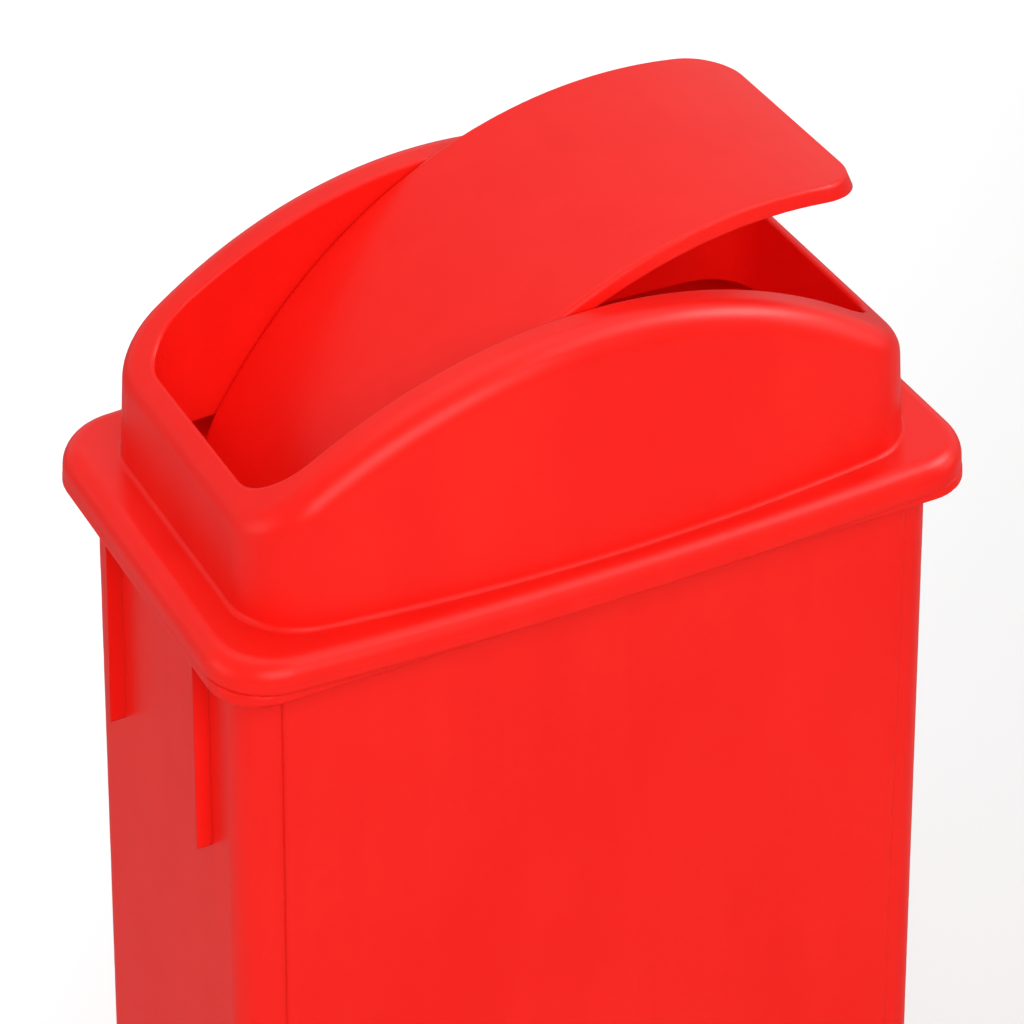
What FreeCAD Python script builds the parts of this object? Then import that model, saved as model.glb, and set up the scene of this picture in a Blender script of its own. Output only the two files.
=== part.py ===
import FreeCAD, Part
import Sketcher
import math
import os

# Dog waste bin: a drafted tub on four feet, a liner frame with grips, and a crowned hood
# whose opening is closed by a swing flap on two pivot pins.
# Lengths in mm, angles in degrees. Z = 0 is the ground, X runs along the long side and
# Y along the short side, both centred. Front is -Y, rear is +Y, left is -X, right is +X.

V = FreeCAD.Vector
os.makedirs("parts", exist_ok=True)
doc = FreeCAD.newDocument("DogWasteBin")

# ------------------------------------------------------- driving dimensions
SIZES = [
    # a gap between pieces that would otherwise touch
    ("clearance", 0.05),
    # hood: flange plate; its heights are above the skirt level
    ("skirt_level", 600.0), ("lid_length", 516.0), ("lid_width", 289.6),
    ("lid_bow", 10.4), ("lid_corner", 44.0), ("lid_wall", 3.0),
    ("flange_height", 17.0), ("flange_round", 11.5), ("skirt_round", 2.0),
    # hood: dome and crown
    ("dome_length", 457.0), ("dome_width", 237.0), ("dome_bow", 18.5),
    ("dome_corner", 45.0), ("dome_top_length", 455.0), ("dome_top_width", 235.0),
    ("dome_top_bow", 13.2), ("dome_top_level", 150.0), ("dome_foot_round", 2.5),
    ("crown_height", 147.4), ("crown_end_height", 80.5), ("crown_round", 17.0),
    # hood: opening, pivot seats and stop pegs
    ("opening_length", 428.0), ("opening_width", 186.0), ("opening_bow", 9.1),
    ("seat_span", 201.0), ("opening_corner", 35.0), ("lip_round", 2.4),
    ("inner_wall_foot", 24.0), ("pivot_rise", 107.5), ("seat_boss", 26.0),
    ("seat_depth", 6.0), ("stop_reach", 32.8), ("stop_drop", 0.25), ("stop_peg", 6.0),
    ("stop_peg_tip", 0.4), ("stop_peg_root", 0.2), ("stop_sleeve", 9.6),
    ("stop_length", 8.2), ("stop_gap", 0.1),
    # flap
    ("flap_tilt", 24.3), ("flap_length", 420.0), ("flap_width", 183.4),
    ("flap_bow", 8.8), ("flap_corner", 32.0), ("flap_top", 149.9), ("flap_end", 79.9),
    ("flap_wall", 2.6), ("flap_lip", 9.5), ("flap_edge_round", 3.2),
    ("cheek_span", 197.0), ("cheek_width", 32.0), ("cheek_thick", 6.0),
    ("cheek_boss", 3.0), ("cheek_boss_size", 24.0),
    # pivot pins, bushes and clips
    ("pin_bore", 8.08), ("pin_size", 8.0), ("pin_head_size", 14.0),
    ("pin_head_thick", 3.0), ("pin_head_inset", 1.0), ("pin_bevel", 0.6),
    ("pin_tail", 3.2), ("groove_offset", 1.0), ("groove_depth", 1.0),
    ("groove_width", 1.2), ("clip_size", 14.0), ("clip_thick", 1.0),
    ("clip_slot_width", 4.4), ("clip_slot_reach", 9.0), ("bush_bore", 8.08),
    ("bush_outer", 13.9), ("bush_seat", 14.0), ("bush_flange", 20.0),
    ("bush_flange_thick", 1.4), ("bush_proud", 0.5),
    # tub; the drafts are inward slope per mm of depth below the skirt level
    ("tub_length", 478.2), ("tub_width", 241.6), ("tub_corner", 24.0),
    ("tub_foot_corner", 18.0), ("tub_wall", 3.5), ("tub_floor", 4.0), ("tub_base", 6.0),
    ("draft_long", 0.0300), ("draft_short", 0.0284), ("rim_length", 513.0),
    ("rim_width", 288.0), ("rim_corner", 34.0), ("rim_thick", 7.0), ("rim_round", 1.6),
    ("locator_length", 507.0), ("locator_width", 279.0), ("locator_corner", 40.0),
    ("locator_height", 10.0), ("locator_wall", 3.0),
    ("panel_half", 214.0), ("panel_proud", 2.5), ("panel_round", 2.0),
    ("panel_roof", 4.0), ("rib_reach", 248.8), ("rib_thick", 4.0),
    ("rib_spacing", 134.0), ("rib_drop", 128.0), ("ledge_level", 562.9),
    ("ledge_drop", 16.0), ("ledge_half", 120.0), ("ledge_wide", 24.0),
    ("ledge_inner", 104.0), ("ledge_setback", 2.0),
    # feet
    ("foot_x", 185.0), ("foot_y", 72.0), ("foot_size", 32.0), ("foot_bevel", 2.0),
    ("foot_stem", 9.9), ("foot_hole", 10.0), ("foot_barb", 13.0),
    ("foot_barb_height", 4.0), ("foot_tip_inset", 1.0),
    # liner frame
    ("wire_size", 6.0), ("frame_half_x", 224.0), ("frame_half_y", 110.0),
    ("frame_corner", 18.0), ("grip_size", 12.0), ("grip_span", 70.0),
    # counterweights and their screws
    ("weight_x", 180.0), ("weight_length", 140.0), ("weight_wide", 16.0),
    ("weight_thick", 6.0), ("weight_corner", 3.0), ("weight_pitch", 90.0),
    ("weight_gap", 5.0), ("weight_hole_play", 0.3), ("weight_post_size", 10.0),
    ("screw_size", 4.0), ("screw_short", 0.6), ("screw_head", 8.0),
    ("screw_head_height", 2.4), ("screw_head_round", 1.0),
    ("drive_width", 1.2), ("drive_length", 5.6),
]
OVERCUT = 1.0   # how far a cutting tool runs past the face it opens
BITE = 1.0      # how far an added piece sinks into its neighbour


class Size:
    """A number together with the sheet expression that produces it."""

    def __init__(self, value, text):
        self.value = float(value)
        self.text = text

    @staticmethod
    def of(number):
        return number if isinstance(number, Size) else Size(number, repr(float(number)))

    def __add__(self, other):
        other = Size.of(other)
        return Size(self.value + other.value, "(%s + %s)" % (self.text, other.text))

    def __sub__(self, other):
        other = Size.of(other)
        return Size(self.value - other.value, "(%s - %s)" % (self.text, other.text))

    def __mul__(self, other):
        other = Size.of(other)
        return Size(self.value * other.value, "(%s * %s)" % (self.text, other.text))

    def __rmul__(self, other):
        return Size.of(other) * self

    def __truediv__(self, other):
        other = Size.of(other)
        return Size(self.value / other.value, "(%s / %s)" % (self.text, other.text))

    def __neg__(self):
        return Size(-self.value, "(-1 * %s)" % self.text)


class Group:
    """Holds one attribute for each alias in the sheet."""


sheet = doc.addObject("Spreadsheet::Sheet", "sheet")
for row, (alias, number) in enumerate(SIZES, start=1):
    sheet.set("A%d" % row, alias)
    sheet.set("B%d" % row, str(number))
    sheet.setAlias("B%d" % row, alias)
doc.recompute()

linked = Group()    # sizes that carry their expression, for bound objects
plain = Group()     # the same sizes as bare numbers, for direct shapes
for alias, _ in SIZES:
    setattr(linked, alias, Size(sheet.get(alias), "sheet.%s" % alias))
    setattr(plain, alias, float(sheet.get(alias)))

nodes = []


def node(obj, name):
    """Label a finished piece and list it for export."""
    obj.Label = name
    nodes.append((obj, name))


def bind(obj, prop, size):
    """Set a length property and tie it to the sheet."""
    size = Size.of(size)
    setattr(obj, prop, size.value)
    obj.setExpression(prop, size.text)


# ---------------------------------------------------------- sketch helpers
def new_body(name):
    return doc.addObject("PartDesign::Body", name + "_body")


def new_sketch(body, name, role, level=None):
    """Empty sketch on an origin plane, or raised to a level along its normal."""
    plane = next(f for f in body.Origin.OriginFeatures if f.Role == role)
    sketch = body.newObject("Sketcher::SketchObject", name)
    sketch.AttachmentSupport = [(plane, "")]
    sketch.MapMode = "FlatFace"
    if level is not None:
        level = Size.of(level)
        sketch.AttachmentOffset = FreeCAD.Placement(V(0, 0, level.value), FreeCAD.Rotation())
        sketch.setExpression("AttachmentOffset.Base.z", level.text)
    return sketch


def add_dimension(sketch, kind, places, size, name):
    size = Size.of(size)
    index = sketch.addConstraint(Sketcher.Constraint(kind, *places, size.value))
    sketch.renameConstraint(index, name)
    sketch.setExpression("Constraints." + name, size.text)


def fix_point(sketch, geometry, point, x, y, x_name, y_name):
    """Dimension a point from the origin, or hold it on an axis where it is zero."""
    for kind, size, name, axis in (("DistanceX", x, x_name, -2), ("DistanceY", y, y_name, -1)):
        if abs(size.value) < 1e-9:
            sketch.addConstraint(
                Sketcher.Constraint("PointOnObject", geometry, point, axis))
        else:
            add_dimension(sketch, kind, (-1, 1, geometry, point), size, name)


def closed_lines(sketch, points):
    """Lines joined end to end through the points; returns their indices."""
    count = len(points)
    lines = []
    for i in range(count):
        (x0, y0), (x1, y1) = points[i], points[(i + 1) % count]
        lines.append(sketch.addGeometry(
            Part.LineSegment(V(x0.value, y0.value, 0), V(x1.value, y1.value, 0))))
    for i in range(count):
        sketch.addConstraint(
            Sketcher.Constraint("Coincident", lines[i], 2, lines[(i + 1) % count], 1))
    return lines


def rounded_rect(body, name, length, width, corner, level):
    """Rounded rectangle centred on the axis, in a level plane."""
    sketch = new_sketch(body, name, "XY_Plane", level)
    length, width, corner = Size.of(length), Size.of(width), Size.of(corner)
    half_x, half_y, radius = length.value / 2, width.value / 2, corner.value
    flat_x, flat_y = half_x - radius, half_y - radius
    sides = [((-flat_x, -half_y), (flat_x, -half_y)), ((half_x, -flat_y), (half_x, flat_y)),
             ((flat_x, half_y), (-flat_x, half_y)), ((-half_x, flat_y), (-half_x, -flat_y))]
    for start, end in sides:
        sketch.addGeometry(Part.LineSegment(V(*start, 0), V(*end, 0)))
    # corner centre and the angle at which its arc starts
    corners = [(flat_x, -flat_y, -90), (flat_x, flat_y, 0),
               (-flat_x, flat_y, 90), (-flat_x, -flat_y, 180)]
    for x, y, start in corners:
        circle = Part.Circle(V(x, y, 0), V(0, 0, 1), radius)
        sketch.addGeometry(
            Part.ArcOfCircle(circle, math.radians(start), math.radians(start + 90)))
    rule = Sketcher.Constraint
    rules = []
    for i in range(4):
        rules.append(rule("Tangent", i, 2, 4 + i, 1))
        rules.append(rule("Tangent", 4 + i, 2, (i + 1) % 4, 1))
    rules += [rule("Horizontal", 0), rule("Horizontal", 2), rule("Vertical", 1),
              rule("Vertical", 3), rule("Equal", 4, 5), rule("Equal", 5, 6),
              rule("Symmetric", 4, 3, 6, 3, -1, 1)]
    sketch.addConstraint(rules)
    add_dimension(sketch, "Radius", (4,), corner, "corner")
    add_dimension(sketch, "DistanceX", (7, 3, 4, 3), length - 2 * corner, "span_x")
    add_dimension(sketch, "DistanceY", (4, 3, 5, 3), width - 2 * corner, "span_y")
    return sketch


def polygon(body, name, role, points, level=None):
    """Closed polygon; each corner is fixed by its two coordinates."""
    sketch = new_sketch(body, name, role, level)
    points = [(Size.of(x), Size.of(y)) for x, y in points]
    lines = closed_lines(sketch, points)
    for i, (x, y) in enumerate(points):
        fix_point(sketch, lines[i], 1, x, y, "x%d" % i, "y%d" % i)
    return sketch


def circles(body, name, role, items, level):
    """Circles given as (x, y, diameter)."""
    sketch = new_sketch(body, name, role, level)
    for i, item in enumerate(items):
        x, y, diameter = [Size.of(number) for number in item]
        sketch.addGeometry(
            Part.Circle(V(x.value, y.value, 0), V(0, 0, 1), diameter.value / 2))
        fix_point(sketch, i, 3, x, y, "cx%d" % i, "cy%d" % i)
        add_dimension(sketch, "Diameter", (i,), diameter, "dia%d" % i)
    return sketch


def boxes(body, name, items, level):
    """Rectangles given as (x0, x1, y0, y1) in a level plane."""
    sketch = new_sketch(body, name, "XY_Plane", level)
    rule = Sketcher.Constraint
    for k, item in enumerate(items):
        x0, x1, y0, y1 = [Size.of(number) for number in item]
        low, right, high, left = closed_lines(
            sketch, [(x0, y0), (x1, y0), (x1, y1), (x0, y1)])
        sketch.addConstraint([rule("Horizontal", low), rule("Vertical", right),
                              rule("Horizontal", high), rule("Vertical", left)])
        add_dimension(sketch, "DistanceX", (-1, 1, low, 1), x0, "xa%d" % k)
        add_dimension(sketch, "DistanceX", (-1, 1, right, 2), x1, "xb%d" % k)
        add_dimension(sketch, "DistanceY", (-1, 1, low, 1), y0, "ya%d" % k)
        add_dimension(sketch, "DistanceY", (-1, 1, right, 2), y1, "yb%d" % k)
    return sketch


# --------------------------------------------------------- feature helpers
def loft(body, name, first, second, cut=False):
    kind = "PartDesign::SubtractiveLoft" if cut else "PartDesign::AdditiveLoft"
    feature = body.newObject(kind, name)
    feature.Profile = first
    feature.Sections = [second]
    feature.Ruled = True
    first.Visibility = second.Visibility = False


def extrusion(kind, body, name, sketch, length, reverse=False):
    feature = body.newObject("PartDesign::" + kind, name)
    feature.Profile = sketch
    bind(feature, "Length", length)
    feature.Reversed = reverse
    return feature


def pad(*args):
    return extrusion("Pad", *args)


def pocket(*args):
    return extrusion("Pocket", *args)


def revolve(body, name, sketch, axis):
    feature = body.newObject("PartDesign::Revolution", name)
    feature.Profile = sketch
    feature.ReferenceAxis = (sketch, [axis])
    feature.Angle = 360.0


def primitive(kind, name, sizes, x, y, z, axis, turn):
    """Bound Part primitive, turned about an axis and set at x, y, z."""
    obj = doc.addObject("Part::" + kind, name)
    for prop, size in sizes.items():
        bind(obj, prop, size)
    x, y, z = Size.of(x), Size.of(y), Size.of(z)
    obj.Placement = FreeCAD.Placement(V(x.value, y.value, z.value),
                                      FreeCAD.Rotation(V(*axis), turn))
    for letter, size in (("x", x), ("y", y), ("z", z)):
        obj.setExpression("Placement.Base." + letter, size.text)
    return obj


def crosswise_tube(prefix, tag, name, outer_radius, bore_radius, length, x, y_rear, z):
    """Tube along Y whose rear end is at y_rear."""
    outer = primitive("Cylinder", prefix + "_outer_" + tag,
                      {"Radius": outer_radius, "Height": length},
                      x, y_rear, z, (1, 0, 0), 90)
    inner = primitive("Cylinder", prefix + "_inner_" + tag,
                      {"Radius": bore_radius, "Height": length + 2 * OVERCUT},
                      x, y_rear + OVERCUT, z, (1, 0, 0), 90)
    tube = doc.addObject("Part::Cut", name)
    tube.Base = outer
    tube.Tool = inner
    return tube


def fuse_all(name, shapes):
    fusion = doc.addObject("Part::MultiFuse", name)
    fusion.Shapes = shapes
    return fusion


# ----------------------------------------------------------------- the tub
rim_foot = linked.skirt_level - linked.rim_thick
floor_top = linked.tub_base + linked.tub_floor
RIM_EDGE_BAND = 1.0     # edges this close to the rim's outer sides are rounded
RIM_CORNER_BAND = 20.0  # the same for its corners


def length_draft(level):
    """Inward slope of an end wall, from the skirt level down to a level."""
    return linked.draft_long * (linked.skirt_level - level)


def drafted(size, draft, level):
    """A plan size of the drafted tub at a height above the ground."""
    return size - 2 * draft * (linked.skirt_level - level)


def tub_outline(tub, name, level, inset, corner):
    return rounded_rect(
        tub, name,
        drafted(linked.tub_length, linked.draft_long, level) - 2 * inset,
        drafted(linked.tub_width, linked.draft_short, level) - 2 * inset,
        corner - inset, level)


def panel_outline(tub, name, level, inset):
    return rounded_rect(
        tub, name,
        2 * (linked.panel_half - length_draft(level) - inset),
        drafted(linked.tub_width, linked.draft_short, level)
        + 2 * linked.panel_proud - 2 * inset,
        linked.panel_round, level)


def rib_outline(tub, name, level, side):
    half = linked.rib_reach - length_draft(level)
    y = side * linked.rib_spacing / 2
    return boxes(tub, name, [(-half, half, y - linked.rib_thick / 2,
                              y + linked.rib_thick / 2)], level)


def lies_at(edge, z, tolerance):
    box = edge.BoundBox
    return abs(box.ZMin - z) < tolerance and abs(box.ZMax - z) < tolerance


def on_rim_outline(edge):
    """True for an edge around the outside of the rim, at its top or underside."""
    if not (lies_at(edge, rim_foot.value, 0.01) or lies_at(edge, plain.skirt_level, 0.01)):
        return False
    middle = edge.valueAt((edge.FirstParameter + edge.LastParameter) / 2)
    in_x = plain.rim_length / 2 - abs(middle.x)
    in_y = plain.rim_width / 2 - abs(middle.y)
    return min(in_x, in_y) < RIM_EDGE_BAND or max(in_x, in_y) < RIM_CORNER_BAND


def build_tub():
    tub = new_body("bin_body")
    top = linked.skirt_level
    loft(tub, "tub_shell",
         tub_outline(tub, "tub_foot_outline", linked.tub_base, 0, linked.tub_foot_corner),
         tub_outline(tub, "tub_top_outline", rim_foot, 0, linked.tub_corner))
    # raised panels on the front and rear walls
    loft(tub, "tub_panels",
         panel_outline(tub, "panel_foot_outline", linked.tub_base, 0),
         panel_outline(tub, "panel_top_outline", rim_foot, 0))
    rim = pad(tub, "tub_rim",
              rounded_rect(tub, "rim_outline", linked.rim_length, linked.rim_width,
                           linked.rim_corner, rim_foot), linked.rim_thick)
    # the rim's edges can only be picked once its shape exists
    doc.recompute()
    rounding = tub.newObject("PartDesign::Fillet", "rim_rounding")
    rounding.Base = (rim, ["Edge%d" % i for i, edge in enumerate(rim.Shape.Edges, start=1)
                           if on_rim_outline(edge)])
    bind(rounding, "Radius", linked.rim_round)
    # gusset ribs that carry the rim on both end walls; they follow the draft
    for side, tag in ((-1, "front"), (1, "rear")):
        loft(tub, "ribs_" + tag,
             rib_outline(tub, "rib_low_" + tag, top - linked.rib_drop, side),
             rib_outline(tub, "rib_top_" + tag, rim_foot + BITE, side))
    # upstand that centres the lid
    pad(tub, "lid_locator",
        rounded_rect(tub, "locator_outline", linked.locator_length,
                     linked.locator_width, linked.locator_corner, top),
        linked.locator_height)
    pocket(tub, "locator_hollow",
           rounded_rect(tub, "locator_inner_outline",
                        linked.locator_length - 2 * linked.locator_wall,
                        linked.locator_width - 2 * linked.locator_wall,
                        linked.locator_corner - linked.locator_wall,
                        top + linked.locator_height),
           linked.locator_height)
    # the hollow, from the floor to the mouth
    loft(tub, "tub_hollow",
         tub_outline(tub, "hollow_foot_outline", floor_top, linked.tub_wall,
                     linked.tub_foot_corner),
         tub_outline(tub, "hollow_top_outline", top + OVERCUT, linked.tub_wall,
                     linked.tub_corner), cut=True)
    loft(tub, "panel_hollow",
         panel_outline(tub, "panel_hollow_foot", floor_top, linked.tub_wall),
         panel_outline(tub, "panel_hollow_top", rim_foot - linked.panel_roof,
                       linked.tub_wall), cut=True)
    # ledges that the liner frame rests on
    half_wide = linked.ledge_wide / 2
    ledge_outer = linked.tub_width / 2 - linked.ledge_setback
    ledges = []
    for side_x in (-1, 1):
        x = side_x * linked.ledge_half
        for y0, y1 in ((-ledge_outer, -linked.ledge_inner), (linked.ledge_inner, ledge_outer)):
            ledges.append((x - half_wide, x + half_wide, y0, y1))
    pad(tub, "frame_ledges",
        boxes(tub, "ledge_outline", ledges, linked.ledge_level - linked.ledge_drop),
        linked.ledge_drop)
    # holes for the push-in feet
    pocket(tub, "foot_holes",
           circles(tub, "foot_hole_outline", "XY_Plane",
                   [(side_x * linked.foot_x, side_y * linked.foot_y, linked.foot_hole)
                    for side_x in (-1, 1) for side_y in (-1, 1)], floor_top + OVERCUT),
           linked.tub_floor + 2 * OVERCUT)
    doc.recompute()
    node(tub, "bin_body")


# ---------------------------------------------------------------- the feet
def build_foot(name, side_x, side_y):
    """Turned foot: bevelled disc, stem through the tub floor, barb above it."""
    body = new_body(name)
    disc, stem, barb = linked.foot_size / 2, linked.foot_stem / 2, linked.foot_barb / 2
    disc_top = linked.tub_base - linked.clearance
    stem_top = floor_top + linked.clearance
    tip = stem_top + linked.foot_barb_height
    profile = polygon(body, name + "_profile", "XZ_Plane", [
        (0, 0), (disc - linked.foot_bevel, 0), (disc, linked.foot_bevel), (disc, disc_top),
        (stem, disc_top), (stem, stem_top), (barb, stem_top),
        (stem - linked.foot_tip_inset, tip), (0, tip)])
    revolve(body, name + "_turned", profile, "V_Axis")
    x, y = side_x * linked.foot_x, side_y * linked.foot_y
    body.Placement = FreeCAD.Placement(V(x.value, y.value, 0), FreeCAD.Rotation())
    body.setExpression("Placement.Base.x", x.text)
    body.setExpression("Placement.Base.y", y.text)
    node(body, name)


# ---------------------------------------------------- liner frame and grips
wire_radius = linked.wire_size / 2
frame_level = linked.ledge_level + wire_radius + linked.clearance


def build_bag_frame():
    """Rectangular wire ring with bent corners."""
    half_x, half_y, bend = linked.frame_half_x, linked.frame_half_y, linked.frame_corner
    straight_x, straight_y = half_x - bend, half_y - bend
    wires = []
    for side in (-1, 1):
        wires.append(primitive(
            "Cylinder", "wire_long_%d" % (side + 1),
            {"Radius": wire_radius, "Height": 2 * straight_x},
            -straight_x, side * half_y, frame_level, (0, 1, 0), 90))
    for side in (-1, 1):
        wires.append(primitive(
            "Cylinder", "wire_short_%d" % (side + 1),
            {"Radius": wire_radius, "Height": 2 * straight_y},
            side * half_x, straight_y, frame_level, (1, 0, 0), 90))
    for k, (side_x, side_y) in enumerate(((1, 1), (-1, 1), (-1, -1), (1, -1))):
        wires.append(primitive(
            "Torus", "wire_bend_%d" % k,
            {"Radius1": bend, "Radius2": wire_radius, "Angle3": 90},
            side_x * straight_x, side_y * straight_y, frame_level, (0, 0, 1), 90 * k))
    node(fuse_all("bag_frame_wire", wires), "bag_frame")


def build_grips():
    """Tubes around the two short wires of the frame."""
    tubes = []
    for side in (-1, 1):
        tag = str(side + 1)
        tubes.append(crosswise_tube(
            "grip", tag, "grip_tube_" + tag, linked.grip_size / 2,
            wire_radius + linked.clearance, linked.grip_span,
            side * linked.frame_half_x, linked.grip_span / 2, frame_level))
    node(fuse_all("bag_frame_grip_pair", tubes), "bag_frame_grips")


# ---------------------------------------------- shared forms of hood and flap
# These shapes are drawn with Z = 0 at the skirt level.
ARCH_HALF_X = 262.0     # arch tools reach past the hood on every side
ARCH_HALF_Y = 220.0


def arc_radius(half_chord, sag):
    return (half_chord ** 2 + sag ** 2) / (2 * sag)


half_opening = plain.opening_length / 2
crown_radius = arc_radius(half_opening, plain.crown_height - plain.crown_end_height)
crown_centre = plain.crown_height - crown_radius
flap_radius = arc_radius(half_opening, plain.flap_top - plain.flap_end)
flap_centre = plain.flap_top - flap_radius


def bowed_wire(length, width, bow, z):
    """Four-sided outline whose long sides bulge outwards by bow."""
    x, y = length / 2, width / 2
    front_left, front_right = V(-x, -y, z), V(x, -y, z)
    rear_right, rear_left = V(x, y, z), V(-x, y, z)
    return Part.Wire([
        Part.Arc(front_left, V(0, -y - bow, z), front_right).toShape(),
        Part.makeLine(front_right, rear_right),
        Part.Arc(rear_right, V(0, y + bow, z), rear_left).toShape(),
        Part.makeLine(rear_left, front_left)])


def round_corners(solid, radius):
    """Fillet the upright edges."""
    upright = []
    for edge in solid.Edges:
        start, end = edge.Vertexes[0].Point, edge.Vertexes[-1].Point
        rise = abs(start.z - end.z)
        if rise > 1 and rise > 3 * abs(start.x - end.x):
            upright.append(edge)
    return solid.makeFillet(radius, upright)


def prism(length, width, bow, corner, z0, z1):
    """Upright prism on a bowed outline with rounded corners."""
    block = Part.Face(bowed_wire(length, width, bow, z0)).extrude(V(0, 0, z1 - z0))
    return round_corners(block, corner)


def arch(radius, z_low, centre):
    """Everything under an arc about a cross-wise axis, as a long prism."""
    x, y = ARCH_HALF_X, -ARCH_HALF_Y
    z = centre + math.sqrt(radius ** 2 - x ** 2)
    left, right = V(-x, y, z), V(x, y, z)
    low_left, low_right = V(-x, y, z_low), V(x, y, z_low)
    wire = Part.Wire([Part.Arc(left, V(0, y, centre + radius), right).toShape(),
                      Part.makeLine(right, low_right), Part.makeLine(low_right, low_left),
                      Part.makeLine(low_left, left)])
    return Part.Face(wire).extrude(V(0, 2 * ARCH_HALF_Y, 0))


def off_arc(points, radius, centre):
    """Largest distance of the points from an arch's curved surface."""
    return max(abs(math.hypot(p.x, p.z - centre) - radius) for p in points)


def arc_edges(shape, radius, centre):
    """Edges whose ends lie on an arch's curved surface."""
    return [e for e in shape.Edges
            if off_arc([v.Point for v in e.Vertexes], radius, centre) < 0.05]


# ---------------------------------------------------------------- the hood
DOME_FOOT = 4.0             # the dome starts inside the flange plate
DOME_OVERRUN = 6.0          # and is lofted past its top level before the crown trims it
HOLLOW_DROP = 2.0           # the hollow's plate starts this far below the skirt
DOME_FOOT_LIMIT_X = 235.0   # between the dome's foot and the plate's own top edge
DOME_FOOT_LIMIT_Y = 141.0
OPENING_TOOL_FOOT = -30.0
OPENING_TOOL_TOP = 220.0
SEAT_TOOL_LENGTH = 20.0
SEAT_TOOL_LEAD = 2.0


def dome_ring(z, inset):
    """Outline of the dome, which changes evenly with height."""
    share = (z - plain.flange_height) / (plain.dome_top_level - plain.flange_height)

    def at_height(foot, top):
        return foot + (top - foot) * share

    return bowed_wire(at_height(plain.dome_length, plain.dome_top_length) - 2 * inset,
                      at_height(plain.dome_width, plain.dome_top_width) - 2 * inset,
                      at_height(plain.dome_bow, plain.dome_top_bow), z)


def hood_form(inset):
    """Flange plate and crowned dome; zero inset is the outside, the wall the hollow."""
    is_outside = inset == 0
    flange_top = plain.flange_height - inset
    plate_foot = 0 if is_outside else -HOLLOW_DROP
    outline = bowed_wire(plain.lid_length - 2 * inset, plain.lid_width - 2 * inset,
                         plain.lid_bow, plate_foot)
    plate = Part.Face(outline).extrude(V(0, 0, flange_top - plate_foot))
    plate = round_corners(plate, plain.lid_corner - inset)
    plate = plate.makeFillet(plain.flange_round - inset,
                             [e for e in plate.Edges if lies_at(e, flange_top, 1e-3)])
    if is_outside:
        plate = plate.makeFillet(plain.skirt_round,
                                 [e for e in plate.Edges if lies_at(e, 0, 1e-3)])
    dome = Part.makeLoft([dome_ring(DOME_FOOT, inset),
                          dome_ring(plain.dome_top_level + DOME_OVERRUN, inset)],
                         True, True)
    dome = round_corners(dome, plain.dome_corner - inset)
    dome = dome.common(arch(crown_radius - inset, -20, crown_centre))
    form = plate.fuse(dome)
    form = form.makeFillet(plain.crown_round - inset,
                           arc_edges(form, crown_radius - inset, crown_centre))
    if is_outside:
        dome_foot = [e for e in form.Edges
                     if lies_at(e, flange_top, 0.05)
                     and abs(e.BoundBox.XMin) < DOME_FOOT_LIMIT_X
                     and abs(e.BoundBox.XMax) < DOME_FOOT_LIMIT_X
                     and abs(e.BoundBox.YMin) < DOME_FOOT_LIMIT_Y]
        form = form.makeFillet(plain.dome_foot_round, dome_foot)
    return form


def on_opening_lip(edge):
    """True for an edge of the opening that lies wholly on the crown."""
    ends = [v.Point for v in edge.Vertexes]
    middle = edge.valueAt((edge.FirstParameter + edge.LastParameter) / 2)
    return (off_arc(ends + [middle], crown_radius, crown_centre) < 0.08
            and max(abs(p.x) for p in ends) < half_opening + 0.5
            and max(abs(p.y) for p in ends)
            < plain.opening_width / 2 + plain.opening_bow + 0.5)


def build_hood():
    wall = plain.lid_wall
    hood = hood_form(0.0)
    # solid kept around the opening, which becomes its inner wall
    keep = prism(plain.opening_length + 2 * wall, plain.opening_width + 2 * wall,
                 plain.opening_bow, plain.opening_corner + wall,
                 plain.inner_wall_foot, OPENING_TOOL_TOP)
    hood = hood.cut(hood_form(wall).cut(keep))
    hood = hood.cut(prism(plain.opening_length, plain.opening_width, plain.opening_bow,
                          plain.opening_corner, OPENING_TOOL_FOOT, OPENING_TOOL_TOP))
    hood = hood.makeFillet(plain.lip_round, [e for e in hood.Edges if on_opening_lip(e)])
    # pivot seats and stop pegs on the front and rear walls of the opening
    seat_y = plain.seat_span / 2
    pivot = plain.pivot_rise
    peg_start = seat_y - plain.stop_length - plain.stop_peg_tip
    peg_length = plain.stop_length + wall + plain.stop_peg_tip + plain.stop_peg_root
    for side in (-1, 1):
        outward = V(0, side, 0)
        hood = hood.fuse(Part.makeCylinder(plain.seat_boss / 2, plain.seat_depth,
                                           V(0, side * seat_y, pivot), outward))
        for side_x in (-1, 1):
            hood = hood.fuse(Part.makeCylinder(
                plain.stop_peg / 2, peg_length,
                V(side_x * plain.stop_reach, side * peg_start, pivot - plain.stop_drop),
                outward))
    for side in (-1, 1):
        hood = hood.cut(Part.makeCylinder(
            plain.bush_seat / 2, SEAT_TOOL_LENGTH,
            V(0, side * (seat_y - SEAT_TOOL_LEAD), pivot), V(0, side, 0)))
    lid = doc.addObject("Part::Feature", "lid_hood_shell")
    lid.Shape = hood.removeSplitter()
    lid.Placement = FreeCAD.Placement(V(0, 0, plain.skirt_level), FreeCAD.Rotation())
    node(lid, "lid_hood")


# -------------------------------------------------- pieces on the pivot axis
pivot_level = linked.skirt_level + linked.pivot_rise
seat_face = linked.seat_span / 2            # flat face of the pivot seats
groove_start = seat_face + linked.seat_depth + linked.groove_offset


def pivot_placement(tilted):
    """Origin on the pivot axis, turned to the flap's rest angle if tilted."""
    angle = plain.flap_tilt if tilted else 0.0
    return FreeCAD.Placement(V(0, 0, pivot_level.value), FreeCAD.Rotation(V(0, -1, 0), angle))


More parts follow.
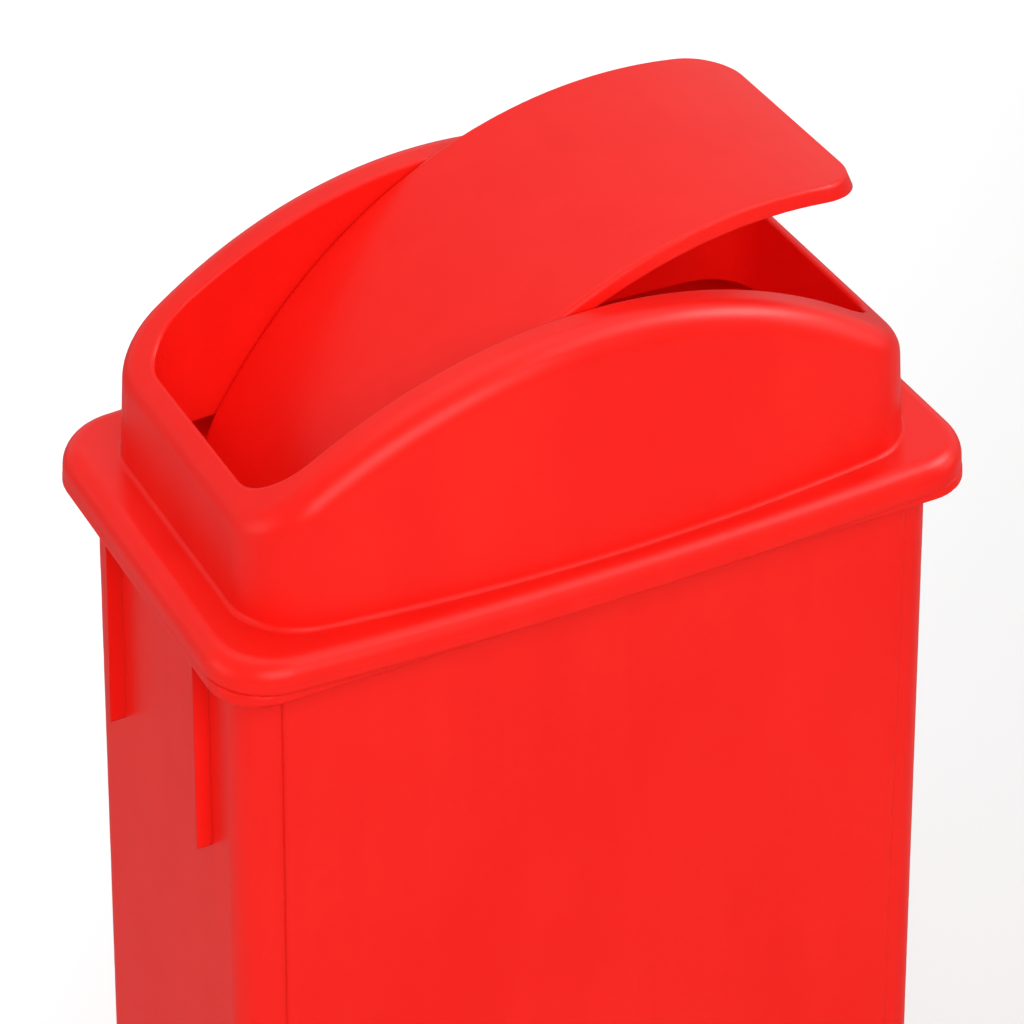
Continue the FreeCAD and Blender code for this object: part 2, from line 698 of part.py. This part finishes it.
def place_body(body, tilted):
    """Put a body drawn about the pivot axis in its place."""
    body.Placement = pivot_placement(tilted)
    body.setExpression("Placement.Base.z", pivot_level.text)


def place_flap_shape(obj):
    """Tilt a shape drawn from the skirt level about the pivot axis."""
    down = FreeCAD.Placement(V(0, 0, -plain.pivot_rise), FreeCAD.Rotation())
    obj.Placement = pivot_placement(True).multiply(down)


def build_turned(name, side, points, tilted):
    """A turned piece on the pivot axis; points are (distance outwards, radius)."""
    body = new_body(name)
    profile = polygon(body, name + "_profile", "YZ_Plane",
                      [(side * Size.of(y), radius) for y, radius in points])
    revolve(body, name + "_turned", profile, "H_Axis")
    place_body(body, tilted)
    node(body, name)


def build_bush(name, side):
    bore, barrel = linked.bush_bore / 2, linked.bush_outer / 2
    flange = linked.bush_flange / 2
    flange_outer = seat_face - linked.clearance
    flange_inner = flange_outer - linked.bush_flange_thick
    end = seat_face + linked.seat_depth + linked.bush_proud
    build_turned(name, side, [
        (flange_inner, bore), (flange_inner, flange), (flange_outer, flange),
        (flange_outer, barrel), (end, barrel), (end, bore)], False)


def build_stop_buffers():
    """Sleeves on the four stop pegs."""
    face = seat_face - linked.stop_gap
    tubes = []
    for side_x in (-1, 1):
        for side, y_rear in ((-1, -face + linked.stop_length), (1, face)):
            tag = "%d%d" % (side_x + 1, side + 1)
            tubes.append(crosswise_tube(
                "sleeve", tag, "sleeve_" + tag, linked.stop_sleeve / 2,
                linked.stop_peg / 2 + linked.clearance, linked.stop_length,
                side_x * linked.stop_reach, y_rear, pivot_level - linked.stop_drop))
    node(fuse_all("stop_buffer_set", tubes), "stop_buffers")


def build_pin(name, side):
    """Headed pin with a clip groove near its outer end."""
    shank, head = linked.pin_size / 2, linked.pin_head_size / 2
    groove = shank - linked.groove_depth
    groove_end = groove_start + linked.groove_width
    head_outer = linked.cheek_span / 2 - linked.cheek_thick - linked.cheek_boss \
        - linked.clearance
    head_inner = head_outer + linked.clearance - linked.pin_head_thick
    tail = groove_start + linked.pin_tail
    bevel = linked.pin_bevel
    build_turned(name, side, [
        (head_inner, 0), (head_inner, head - linked.pin_head_inset),
        (head_inner + bevel, head), (head_outer, head), (head_outer, shank),
        (groove_start, shank), (groove_start, groove), (groove_end, groove),
        (groove_end, shank), (tail - bevel, shank), (tail, shank - bevel), (tail, 0)], True)


def build_clip(name, side):
    """Slotted washer centred in the pin's groove."""
    body = new_body(name)
    thick = linked.clip_thick
    # the XZ plane faces -Y, so both plates grow towards the front
    near = groove_start + (linked.groove_width - thick) / 2
    level = -near - thick if side > 0 else near
    bore = linked.pin_size - 2 * linked.groove_depth + 2 * linked.clearance
    pad(body, name + "_plate",
        circles(body, name + "_ring", "XZ_Plane",
                [(0, 0, linked.clip_size), (0, 0, bore)], level), thick)
    half_slot, reach = linked.clip_slot_width / 2, linked.clip_slot_reach
    slot = polygon(body, name + "_slot", "XZ_Plane",
                   [(-half_slot, 0), (half_slot, 0), (half_slot, reach),
                    (-half_slot, reach)], level - OVERCUT)
    pocket(body, name + "_gap", slot, thick + 3 * OVERCUT, True)
    place_body(body, True)
    node(body, name)


# ---------------------------------------------------------------- the flap
# Modelled closed, from the skirt level, then turned to its rest angle.
FLAP_LOW, FLAP_HIGH = 20, 180           # levels of the blank before trimming
FLAP_BLANK_MARGIN = 10                  # the hollow's blank runs past both
CHEEK_BLANK_HEIGHT = 80
CHEEK_INSET = 1.0                       # cheeks stop this far under the outer face
BORE_TOOL_LENGTH = 260
PILOT_LEAD = 0.1                        # pilot holes start outside the post
PILOT_SHORT = 0.2                       # and are shorter than the weight gap
weight_lean = math.asin(plain.weight_x / flap_radius)


def weight_posts():
    """(foot, outward direction) of the posts under the two ends of the flap."""
    foot_radius = flap_radius - plain.flap_wall - plain.weight_gap
    posts = []
    for side_x in (-1, 1):
        out = V(side_x * math.sin(weight_lean), 0, math.cos(weight_lean))
        for side_y in (-1, 1):
            centre = V(0, side_y * plain.weight_pitch / 2, flap_centre)
            posts.append((centre + out * foot_radius, out))
    return posts


def build_flap():
    wall, pivot = plain.flap_wall, plain.pivot_rise
    outer = prism(plain.flap_length, plain.flap_width, plain.flap_bow,
                  plain.flap_corner, FLAP_LOW, FLAP_HIGH)
    inner = prism(plain.flap_length - 2 * wall, plain.flap_width - 2 * wall,
                  plain.flap_bow, plain.flap_corner - wall,
                  FLAP_LOW - FLAP_BLANK_MARGIN, FLAP_HIGH + FLAP_BLANK_MARGIN)
    leaf = outer.common(arch(flap_radius, 0, flap_centre))
    leaf = leaf.makeFillet(plain.flap_edge_round, arc_edges(leaf, flap_radius, flap_centre))
    leaf = leaf.cut(arch(flap_radius - plain.flap_lip, -10, flap_centre))
    leaf = leaf.cut(inner.common(arch(flap_radius - wall, 0, flap_centre)))
    # round-ended cheeks with bosses on their inner faces
    cheek_outer, thick = plain.cheek_span / 2, plain.cheek_thick
    cheek_inner = cheek_outer - thick
    half_wide = plain.cheek_width / 2
    under = arch(flap_radius - CHEEK_INSET, -50, flap_centre)
    for side in (-1, 1):
        y_front = cheek_inner if side > 0 else -cheek_outer
        cheek = Part.makeBox(2 * half_wide, thick, CHEEK_BLANK_HEIGHT,
                             V(-half_wide, y_front, pivot))
        cheek = cheek.fuse(Part.makeCylinder(half_wide, thick, V(0, y_front, pivot),
                                             V(0, 1, 0)))
        leaf = leaf.fuse(cheek.common(under))
        leaf = leaf.fuse(Part.makeCylinder(plain.cheek_boss_size / 2, plain.cheek_boss,
                                           V(0, side * cheek_inner, pivot), V(0, -side, 0)))
    leaf = leaf.cut(Part.makeCylinder(plain.pin_bore / 2, BORE_TOOL_LENGTH,
                                      V(0, -BORE_TOOL_LENGTH / 2, pivot), V(0, 1, 0)))
    # posts that carry the counterweights, then their pilot holes
    posts = weight_posts()
    for foot, out in posts:
        leaf = leaf.fuse(Part.makeCylinder(plain.weight_post_size / 2,
                                           plain.weight_gap + BITE, foot, out))
    for foot, out in posts:
        leaf = leaf.cut(Part.makeCylinder(plain.screw_size / 2 + plain.clearance,
                                          plain.weight_gap - PILOT_SHORT,
                                          foot - out * PILOT_LEAD, out))
    flap = doc.addObject("Part::Feature", "swing_flap_shell")
    flap.Shape = leaf.removeSplitter()
    place_flap_shape(flap)
    node(flap, "swing_flap")


# ----------------------------------------------- counterweights and screws
def build_weight(name, side_x):
    """Drilled bar; its local origin is on the flap's outer face, Z outwards."""
    body = new_body(name)
    top = -(linked.weight_gap + linked.flap_wall + linked.clearance)
    outline = rounded_rect(body, name + "_outline", linked.weight_wide,
                           linked.weight_length, linked.weight_corner,
                           top - linked.weight_thick)
    pad(body, name + "_bar", outline, linked.weight_thick)
    holes = circles(body, name + "_holes", "XY_Plane",
                    [(0, side_y * linked.weight_pitch / 2,
                      linked.screw_size + linked.weight_hole_play)
                     for side_y in (-1, 1)], top + OVERCUT)
    pocket(body, name + "_drilled", holes, linked.weight_thick + 2 * OVERCUT)
    on_flap = FreeCAD.Placement(
        V(side_x * flap_radius * math.sin(weight_lean), 0,
          flap_centre + flap_radius * math.cos(weight_lean) - plain.pivot_rise),
        FreeCAD.Rotation(V(0, 1, 0), side_x * math.degrees(weight_lean)))
    body.Placement = pivot_placement(True).multiply(on_flap)
    node(body, name)


def weight_screw(foot, out):
    """Slotted screw through a weight into the post that starts at foot."""
    seat = foot - out * (plain.weight_thick + 2 * plain.clearance)
    shank = Part.makeCylinder(plain.screw_size / 2,
                              plain.weight_thick + plain.weight_gap - plain.screw_short,
                              seat, out)
    head = Part.makeCylinder(plain.screw_head / 2, plain.screw_head_height, seat, -1 * out)
    # the closed edge round the head's free end
    head = head.makeFillet(plain.screw_head_round,
                           [e for e in head.Edges
                            if (e.CenterOfMass - seat).dot(out) < -2.0 and e.Closed
                            and e.BoundBox.DiagonalLength > 5])
    width, length = plain.drive_width, plain.drive_length
    drive = Part.makeBox(width, length, width, V(-width / 2, -length / 2, -width / 2))
    drive.Placement = FreeCAD.Placement(seat - out * plain.screw_head_height,
                                        FreeCAD.Rotation(V(0, 0, 1), out))
    return shank.fuse(head).cut(drive).removeSplitter()


def build_screws():
    group = doc.addObject("Part::Feature", "weight_screw_set")
    group.Shape = Part.makeCompound([weight_screw(foot, out) for foot, out in weight_posts()])
    place_flap_shape(group)
    node(group, "weight_screws")


# --------------------------------------------------------- build the pieces
FRONT_AND_REAR = (("front", -1), ("rear", 1))
LEFT_AND_RIGHT = (("left", -1), ("right", 1))

build_tub()
for place_y, side_y in FRONT_AND_REAR:
    for place_x, side_x in LEFT_AND_RIGHT:
        build_foot("foot_%s_%s" % (place_y, place_x), side_x, side_y)
build_bag_frame()
build_grips()
build_hood()
for place, side in FRONT_AND_REAR:
    build_bush("pivot_bush_" + place, side)
build_stop_buffers()
build_flap()
for place, side in FRONT_AND_REAR:
    build_pin("pivot_pin_" + place, side)
for place, side in FRONT_AND_REAR:
    build_clip("pin_clip_" + place, side)
for place, side in LEFT_AND_RIGHT:
    build_weight("flap_weight_" + place, side)
build_screws()

# --------------------------------------------------------- check and write
doc.recompute()
problems = []
for obj in doc.Objects:
    state = list(getattr(obj, "State", []))
    if "Invalid" in state or "Error" in state:
        problems.append("%s: %s" % (obj.Name, state))
for obj, name in nodes:
    shape = obj.Shape
    if shape.isNull() or not shape.isValid() or not shape.Solids:
        problems.append("%s: bad shape" % name)
if problems:
    raise RuntimeError("; ".join(problems))
for obj, name in nodes:
    obj.Shape.exportStep("parts/%s.step" % name)
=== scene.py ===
import bpy
import math
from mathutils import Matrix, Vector


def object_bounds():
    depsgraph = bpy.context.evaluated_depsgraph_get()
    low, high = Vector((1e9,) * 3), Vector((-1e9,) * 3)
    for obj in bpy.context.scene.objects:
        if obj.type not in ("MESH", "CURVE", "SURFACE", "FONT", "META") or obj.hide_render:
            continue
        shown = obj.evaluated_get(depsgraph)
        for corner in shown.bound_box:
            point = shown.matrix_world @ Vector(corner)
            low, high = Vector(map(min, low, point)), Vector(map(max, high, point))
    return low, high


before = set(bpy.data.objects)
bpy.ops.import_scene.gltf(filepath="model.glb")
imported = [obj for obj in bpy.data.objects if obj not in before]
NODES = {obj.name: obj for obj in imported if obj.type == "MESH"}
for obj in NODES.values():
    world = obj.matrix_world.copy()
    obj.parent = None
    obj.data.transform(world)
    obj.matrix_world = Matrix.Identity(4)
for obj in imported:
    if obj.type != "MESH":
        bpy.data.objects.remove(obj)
lo0, hi0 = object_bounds()
scene = bpy.context.scene


# ------------------------------------------------------------ node helpers
class Tree:
    """Small helper that builds a node tree by name."""

    def __init__(self, tree):
        self.t = tree
        self.n = tree.nodes
        self.l = tree.links

    def add(self, kind, **props):
        node = self.n.new(kind)
        for k, v in props.items():
            if k.startswith("in_"):
                continue
            setattr(node, k, v)
        return node

    def put(self, node, socket, value):
        s = node.inputs[socket]
        if hasattr(value, "is_output") or hasattr(value, "links"):
            self.l.new(value, s)
        else:
            s.default_value = value
        return node

    def math(self, op, a, b=None, c=None, clamp=False):
        m = self.n.new("ShaderNodeMath")
        m.operation = op
        m.use_clamp = clamp
        for i, v in enumerate((a, b, c)):
            if v is not None:
                self.put(m, i, v)
        return m.outputs[0]

    def noise(self, vec, scale, detail=3.0, rough=0.5, dist=0.0):
        m = self.n.new("ShaderNodeTexNoise")
        self.l.new(vec, m.inputs["Vector"])
        m.inputs["Scale"].default_value = scale
        m.inputs["Detail"].default_value = detail
        m.inputs["Roughness"].default_value = rough
        m.inputs["Distortion"].default_value = dist
        return m.outputs["Fac"]

    def ramp(self, fac, lo, hi, a=0.0, b=1.0, smooth=True):
        m = self.n.new("ShaderNodeMapRange")
        if smooth:
            m.interpolation_type = "SMOOTHSTEP"
        self.put(m, "Value", fac)
        m.inputs["From Min"].default_value = lo
        m.inputs["From Max"].default_value = hi
        m.inputs["To Min"].default_value = a
        m.inputs["To Max"].default_value = b
        return m.outputs["Result"]

    def mix(self, fac, a, b, blend="MIX"):
        m = self.n.new("ShaderNodeMix")
        m.data_type = "RGBA"
        m.blend_type = blend
        self.put(m, 0, fac)
        self.put(m, 6, a)
        self.put(m, 7, b)
        return m.outputs[2]

    def scaled(self, vec, s):
        m = self.n.new("ShaderNodeMapping")
        self.l.new(vec, m.inputs["Vector"])
        m.inputs["Scale"].default_value = s
        return m.outputs["Vector"]

    def bump(self, height, strength, distance, normal=None):
        m = self.n.new("ShaderNodeBump")
        m.inputs["Strength"].default_value = strength
        m.inputs["Distance"].default_value = distance
        self.l.new(height, m.inputs["Height"])
        if normal is not None:
            self.l.new(normal, m.inputs["Normal"])
        return m.outputs["Normal"]


def material(name):
    m = bpy.data.materials.new(name)
    m.use_nodes = True
    t = Tree(m.node_tree)
    bsdf = m.node_tree.nodes["Principled BSDF"]
    co = t.add("ShaderNodeTexCoord").outputs["Object"]
    return m, t, bsdf, co


def rgb(r, g, b):
    return (r, g, b, 1.0)


def red_plastic(name, seed, rough=0.33, grain=1.0):
    """Satin moulded red plastic: fine mould grain, faint flow mottling,
    light rub marks and slightly paler worn arrises."""
    m, t, bsdf, co = material(name)
    shift = t.add("ShaderNodeMapping")
    t.l.new(co, shift.inputs["Vector"])
    shift.inputs["Location"].default_value = (seed * 1.7, seed * 0.6, 0.31 * seed)
    v = shift.outputs["Vector"]
    mottle = t.noise(v, 7.0, 4.0, 0.55)
    flow = t.noise(t.scaled(v, (9.0, 9.0, 1.6)), 3.0, 3.0, 0.5, 0.6)
    cloud = t.math("ADD", t.math("MULTIPLY", mottle, 0.6),
                   t.math("MULTIPLY", flow, 0.4))
    tone = t.ramp(cloud, 0.36, 0.66)
    base = t.mix(tone, rgb(0.905, 0.0096, 0.0058), rgb(0.940, 0.0130, 0.0074))
    # rub marks: thin, long and rare
    rub = t.noise(t.scaled(v, (60.0, 60.0, 2.2)), 9.0, 2.0, 0.5, 1.2)
    rub = t.ramp(rub, 0.70, 0.80)
    where = t.ramp(t.noise(v, 5.0, 2.0), 0.52, 0.70)
    rub = t.math("MULTIPLY", rub, where)
    base = t.mix(t.math("MULTIPLY", rub, 0.10), base, rgb(0.93, 0.10, 0.085))
    # worn arrises, found by comparing the bevelled and the plain normal
    bev = t.add("ShaderNodeBevel")
    bev.samples = 2
    bev.inputs["Radius"].default_value = 0.0016
    geo = t.add("ShaderNodeNewGeometry")
    dot = t.add("ShaderNodeVectorMath", operation="DOT_PRODUCT")
    t.l.new(bev.outputs[0], dot.inputs[0])
    t.l.new(geo.outputs["Normal"], dot.inputs[1])
    edge = t.ramp(dot.outputs["Value"], 0.80, 0.985, 1.0, 0.0)
    broken = t.ramp(t.noise(v, 160.0, 3.0, 0.6), 0.42, 0.62)
    worn = t.math("MULTIPLY", edge, broken)
    base = t.mix(t.math("MULTIPLY", worn, 0.16), base, rgb(0.95, 0.085, 0.07))
    t.l.new(base, bsdf.inputs["Base Color"])
    # roughness: satin, a little uneven
    fine = t.noise(v, 900.0, 2.0, 0.6)
    patch = t.noise(v, 22.0, 3.0, 0.6)
    r = t.math("ADD", t.math("MULTIPLY", patch, 0.10),
               t.math("MULTIPLY", fine, 0.05))
    r = t.math("ADD", r, rough - 0.075)
    r = t.math("ADD", r, t.math("MULTIPLY", rub, 0.12))
    t.l.new(r, bsdf.inputs["Roughness"])
    bsdf.inputs["IOR"].default_value = 1.49
    bsdf.inputs["Specular IOR Level"].default_value = 0.20
    bsdf.inputs["Coat Weight"].default_value = 0.0
    # mould grain and very slight waviness of the walls
    n = t.bump(t.noise(v, 9.0, 1.0, 0.4), 0.35, 0.0006, bev.outputs[0])
    n = t.bump(t.noise(v, 1500.0, 2.0, 0.6), 0.10 * grain, 0.00012, n)
    t.l.new(n, bsdf.inputs["Normal"])
    return m


def simple(name, c0, c1, rough, metal=0.0, scale=120.0, bump=0.15,
           dist=0.0002, stretch=(1, 1, 1), spec=0.5, wear=None):
    """Two-tone surface with uneven roughness and a fine relief."""
    m, t, bsdf, co = material(name)
    v = t.scaled(co, stretch)
    tone = t.ramp(t.noise(v, scale * 0.35, 4.0, 0.6), 0.38, 0.66)
    base = t.mix(tone, c0, c1)
    if wear is not None:
        patch = t.ramp(t.noise(co, scale * 0.8, 5.0, 0.65), 0.60, 0.72)
        base = t.mix(t.math("MULTIPLY", patch, 0.5), base, wear)
    t.l.new(base, bsdf.inputs["Base Color"])
    rr = t.math("ADD", rough - 0.07,
                t.math("MULTIPLY", t.noise(v, scale, 3.0, 0.6), 0.16))
    t.l.new(rr, bsdf.inputs["Roughness"])
    bsdf.inputs["Metallic"].default_value = metal
    bsdf.inputs["Specular IOR Level"].default_value = spec
    n = t.bump(t.noise(v, scale * 6.0, 3.0, 0.6), bump, dist)
    t.l.new(n, bsdf.inputs["Normal"])
    return m


MAT = {
    "bin_body": red_plastic("red_plastic_tub", 1.0, 0.34),
    "lid_hood": red_plastic("red_plastic_hood", 2.0, 0.33),
    "swing_flap": red_plastic("red_plastic_flap", 3.0, 0.33),
}
rubber = simple("rubber_black", rgb(0.020, 0.020, 0.021),
                rgb(0.042, 0.041, 0.040), 0.78, 0.0, 140.0, 0.5, 0.0003,
                wear=rgb(0.11, 0.105, 0.10))
wire = simple("wire_zinc", rgb(0.50, 0.51, 0.53), rgb(0.68, 0.69, 0.70), 0.34,
              1.0, 220.0, 0.2, 0.0001)
grip = simple("grip_black", rgb(0.030, 0.030, 0.033), rgb(0.055, 0.055, 0.058),
              0.60, 0.0, 260.0, 0.45, 0.0002)
bush = simple("bush_white", rgb(0.78, 0.77, 0.72), rgb(0.87, 0.86, 0.82), 0.42,
              0.0, 180.0, 0.2, 0.0001)
steel = simple("steel_turned", rgb(0.52, 0.52, 0.53), rgb(0.66, 0.66, 0.67),
               0.30, 1.0, 300.0, 0.3, 0.0001, stretch=(1, 4, 1))
clip = simple("steel_spring", rgb(0.20, 0.20, 0.21), rgb(0.34, 0.34, 0.36),
              0.36, 1.0, 300.0, 0.3, 0.0001)
zinc = simple("zinc_plate", rgb(0.46, 0.48, 0.50), rgb(0.64, 0.65, 0.66), 0.42,
              1.0, 90.0, 0.35, 0.0002, wear=rgb(0.30, 0.29, 0.27))
MAT.update({
    "foot_front_left": rubber, "foot_front_right": rubber,
    "foot_rear_left": rubber, "foot_rear_right": rubber,
    "stop_buffers": rubber, "bag_frame": wire, "bag_frame_grips": grip,
    "pivot_bush_front": bush, "pivot_bush_rear": bush,
    "pivot_pin_front": steel, "pivot_pin_rear": steel,
    "pin_clip_front": clip, "pin_clip_rear": clip,
    "flap_weight_left": zinc, "flap_weight_right": zinc,
    "weight_screws": steel,
})
for name, obj in NODES.items():
    obj.data.materials.clear()
    obj.data.materials.append(MAT[name])

# ------------------------------------------------------------------- stage
size = 60.0
me = bpy.data.meshes.new("floor")
me.from_pydata([(-size, -size, 0), (size, -size, 0), (size, size, 0),
                (-size, size, 0)], [], [(0, 1, 2, 3)])
floor = bpy.data.objects.new("floor", me)
scene.collection.objects.link(floor)
m, t, bsdf, co = material("floor_pale")
path = t.add("ShaderNodeLightPath")
bsdf.inputs["Roughness"].default_value = 0.9
bsdf.inputs["Specular IOR Level"].default_value = 0.0
fine = t.ramp(t.noise(co, 3.0, 4.0), 0.3, 0.7)
base = t.mix(fine, rgb(0.80, 0.80, 0.80), rgb(0.82, 0.82, 0.82))
# in reflections the floor is dim, dimmest in front of the bin: painted shade in
# its colour for glossy rays, as under a soft box with black flags beside it
fsep = t.add("ShaderNodeSeparateXYZ")
t.l.new(co, fsep.inputs[0])
painted_flag_shade = t.ramp(fsep.outputs["Y"], -0.35, 0.15, 0.05, 0.36)
dim_floor = t.add("ShaderNodeCombineXYZ")
for k in range(3):
    t.l.new(painted_flag_shade, dim_floor.inputs[k])
seen = t.mix(path.outputs["Is Glossy Ray"], base, dim_floor.outputs[0])
seen = t.mix(path.outputs["Is Camera Ray"], seen, rgb(0.60, 0.60, 0.60))
t.l.new(seen, bsdf.inputs["Base Color"])
# painted light: for the camera only the floor glows, brighter towards the left, the back
# and far away, and weakest at the front right, which stays darker as if in soft shade; so
# the backdrop side is lifted to white
painted_floor_glow = t.math("ADD", t.math("MULTIPLY", fsep.outputs["X"], -0.20),
              t.math("MULTIPLY", fsep.outputs["Y"], 0.30))
painted_floor_glow = t.math("MINIMUM", t.math("MAXIMUM", t.math("ADD", painted_floor_glow, 0.385), 0.20),
              0.66)
away = t.add("ShaderNodeVectorMath", operation="LENGTH")
t.l.new(co, away.inputs[0])
far = t.ramp(away.outputs["Value"], 2.4, 7.0, 0.0, 0.42)
painted_floor_glow = t.math("MINIMUM", t.math("ADD", painted_floor_glow, far), 0.72)
t.l.new(t.math("MULTIPLY", painted_floor_glow, path.outputs["Is Camera Ray"]),
        bsdf.inputs["Emission Strength"])
bsdf.inputs["Emission Color"].default_value = rgb(1, 1, 1)
me.materials.append(m)

# ------------------------------------------------------------------ lights
world = bpy.data.worlds.new("studio")
scene.world = world
world.use_nodes = True
wt = Tree(world.node_tree)
bg = world.node_tree.nodes["Background"]
out = world.node_tree.nodes["World Output"]
wco = wt.add("ShaderNodeTexCoord").outputs["Generated"]
sep = wt.add("ShaderNodeSeparateXYZ")
wt.l.new(wco, sep.inputs[0])
wpath = wt.add("ShaderNodeLightPath")
bg.inputs["Color"].default_value = rgb(1, 1, 1)
bg.inputs["Strength"].default_value = 0.49
glossy = wt.add("ShaderNodeBackground")
front = wt.ramp(sep.outputs["Y"], -0.6, 0.5, 0.06, 0.90)
wt.l.new(front, glossy.inputs["Strength"])
seen_bg = wt.add("ShaderNodeBackground")
seen_bg.inputs["Color"].default_value = rgb(1, 1, 1)
seen_bg.inputs["Strength"].default_value = 1.0
mix1 = wt.add("ShaderNodeMixShader")
wt.l.new(wpath.outputs["Is Glossy Ray"], mix1.inputs[0])
wt.l.new(bg.outputs[0], mix1.inputs[1])
wt.l.new(glossy.outputs[0], mix1.inputs[2])
mix2 = wt.add("ShaderNodeMixShader")
wt.l.new(wpath.outputs["Is Camera Ray"], mix2.inputs[0])
wt.l.new(mix1.outputs[0], mix2.inputs[1])
wt.l.new(seen_bg.outputs[0], mix2.inputs[2])
wt.l.new(mix2.outputs[0], out.inputs["Surface"])


def area(name, loc, target, w, h, power, colour=(1, 1, 1)):
    d = bpy.data.lights.new(name, "AREA")
    d.shape = "RECTANGLE"
    d.size, d.size_y, d.energy, d.color = w, h, power, colour
    o = bpy.data.objects.new(name, d)
    scene.collection.objects.link(o)
    o.location = loc
    o.rotation_euler = (Vector(target) - Vector(loc)).to_track_quat(
        "-Z", "Y").to_euler()
    o.visible_camera = False
    return o


mid = (lo0 + hi0) / 2
area("key", (-0.65, -2.75, 2.3), mid, 2.4, 1.6, 58.0)
area("top", (0.3, 0.6, 3.2), mid, 2.6, 2.0, 20.0)
area("side", (3.0, -1.0, 1.6), mid, 1.6, 1.6, 13.0)
area("left", (-3.0, 0.4, 1.1), mid, 1.6, 1.4, 12.0)
# two narrow soft boxes that only draw highlights on the rounded edges
for name, at, w, h, power in (("strip_left", (1.2, -1.0, 3.3), 1.9, 0.6, 20.0),
                              ("strip_right", (2.3, -0.4, 2.6), 1.2, 1.0, 46.0)):
    area(name, at, mid, w, h, power).visible_diffuse = False
# daylight that leaks through the thin red walls into the bin
area("glow", (0.0, 0.0, 0.32), (0.0, 0.0, 1.0), 0.38, 0.16, 0.22,
     (1.0, 0.03, 0.02))

# ------------------------------------------------------------------ camera
EYE = (-1.36714, -2.67038, 2.33191)
SHIFT = -2.74369
cd = bpy.data.cameras.new("camera")
cam = bpy.data.objects.new("camera", cd)
scene.collection.objects.link(cam)
scene.camera = cam
cam.location = EYE
cam.rotation_euler = (math.pi / 2, 0.0, -0.473)
cd.sensor_fit = "HORIZONTAL"
cd.sensor_width = 36.0
cd.lens = 4783.551 / 1024 * 36.0
cd.clip_start, cd.clip_end = 0.1, 300.0
# The lens is shifted down only while the camera stands at EYE; from any
# other place it looks straight ahead.
fc = cd.driver_add("shift_y").driver
fc.type = "SCRIPTED"
for n, axis in (("x", "LOC_X"), ("y", "LOC_Y")):
    var = fc.variables.new()
    var.name = n
    var.type = "TRANSFORMS"
    var.targets[0].id = cam
    var.targets[0].transform_type = axis
    var.targets[0].transform_space = "WORLD_SPACE"
fc.expression = "%.5f * (abs(x - %.5f) + abs(y - %.5f) < 0.002)" % (
    SHIFT, EYE[0], EYE[1])

# light bounces many times between the bright red walls of the mouth
scene.cycles.diffuse_bounces = 14
scene.cycles.max_bounces = 18
scene.view_settings.view_transform = "Standard"
scene.view_settings.look = "None"

bpy.context.view_layer.update()
